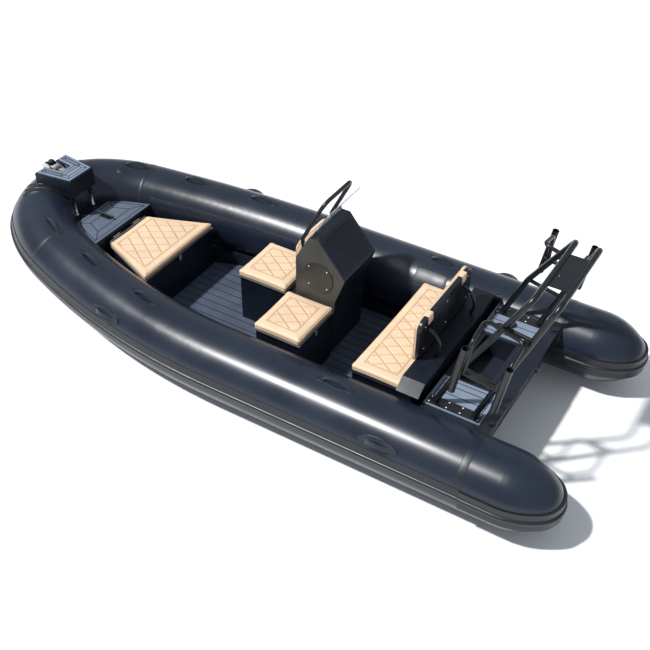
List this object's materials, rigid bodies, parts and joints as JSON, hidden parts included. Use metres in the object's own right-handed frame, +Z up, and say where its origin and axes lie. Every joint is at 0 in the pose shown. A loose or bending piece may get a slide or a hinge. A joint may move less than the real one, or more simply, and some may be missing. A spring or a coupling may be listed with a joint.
{
  "type": "inflatable rigid-hulled boat",
  "caption": "Inflatable boat with a rigid V hull, side console, hinged locker seats with cushions, bow step with anchor roller and a bent-tube stern arch with rod holders.",
  "frame": {"origin": "on the waterline, on the centreline, at mid length", "axes": "+X forward, +Y to port, +Z up"},
  "size_m": [4.6909, 1.98, 1.496],
  "materials": {
    "tube_fabric": "satin coated fabric",
    "rail_rubber": "matt moulded rubber",
    "hull_coat": "satin powder coat",
    "box_coat": "satin powder coat",
    "seat_cover": "quilted beige vinyl",
    "deck_foam": "brushed grey foam",
    "frame_coat": "satin black",
    "black_nylon": "matt",
    "stainless": "polished",
    "clear_screen": "clear"
  },
  "bodies": {
    "root": {"tube_port": "tube_fabric", "tube_starboard": "tube_fabric", "tube_bow": "tube_fabric", "stern_cones": "tube_fabric", "rub_rail": "rail_rubber", "cone_rails": "rail_rubber", "strap_handles": "rail_rubber", "grip_handles": "rail_rubber", "hull": "hull_coat", "transom": "hull_coat", "stern_deck": "hull_coat", "console": "box_coat", "bench_box": "box_coat", "seat_boxes": "box_coat", "bow_locker": "box_coat", "bow_deck": "box_coat", "bow_step": "box_coat", "front_backrest": "seat_cover", "cockpit_mat": "deck_foam", "deck_pads": "deck_foam", "arch_hoops": "frame_coat", "arch_rungs": "frame_coat", "arch_bases": "frame_coat", "arch_plate": "frame_coat", "rod_racks": "frame_coat", "grab_rail": "frame_coat", "hatch_plate": "black_nylon", "bow_cleat": "black_nylon", "deck_fittings": "black_nylon", "latches": "stainless", "roller_bracket": "stainless", "tow_eyes": "stainless", "windscreen": "clear_screen"},
    "bow_lid": {"bow_seat_lid": "box_coat", "bow_cushion": "seat_cover"},
    "front_lid": {"front_seat_lid": "box_coat", "front_cushion": "seat_cover"},
    "side_lid": {"side_seat_lid": "box_coat", "side_cushion": "seat_cover"},
    "bench": {"bench_lid": "box_coat", "bench_cushion": "seat_cover", "backrest_board": "box_coat", "backrest_cushion": "seat_cover", "backrest_arms": "frame_coat"},
    "roller": {"anchor_roller": "black_nylon"}
  },
  "joints": [
    {"name": "bow_lid_hinge", "type": "hinge", "parent": "root", "child": "bow_lid", "pos_m": [1.435, 0, 0.4], "axis": [0, 1, 0], "range_deg": [0, 80]},
    {"name": "front_lid_hinge", "type": "hinge", "parent": "root", "child": "front_lid", "pos_m": [0.3815, 0, 0.3817], "axis": [0, 1, 0], "range_deg": [0, 85]},
    {"name": "side_lid_hinge", "type": "hinge", "parent": "root", "child": "side_lid", "pos_m": [-0.0515, 0, 0.3937], "axis": [0, 1, 0], "range_deg": [0, 85]},
    {"name": "bench_hinge", "type": "hinge", "parent": "root", "child": "bench", "pos_m": [-1.3215, 0, 0.5567], "axis": [0, -1, 0], "range_deg": [0, 55]},
    {"name": "anchor_roller_spin", "type": "hinge", "parent": "root", "child": "roller", "pos_m": [2.1345, 0, 0.735], "axis": [0, 1, 0], "continuous": true}
  ]
}
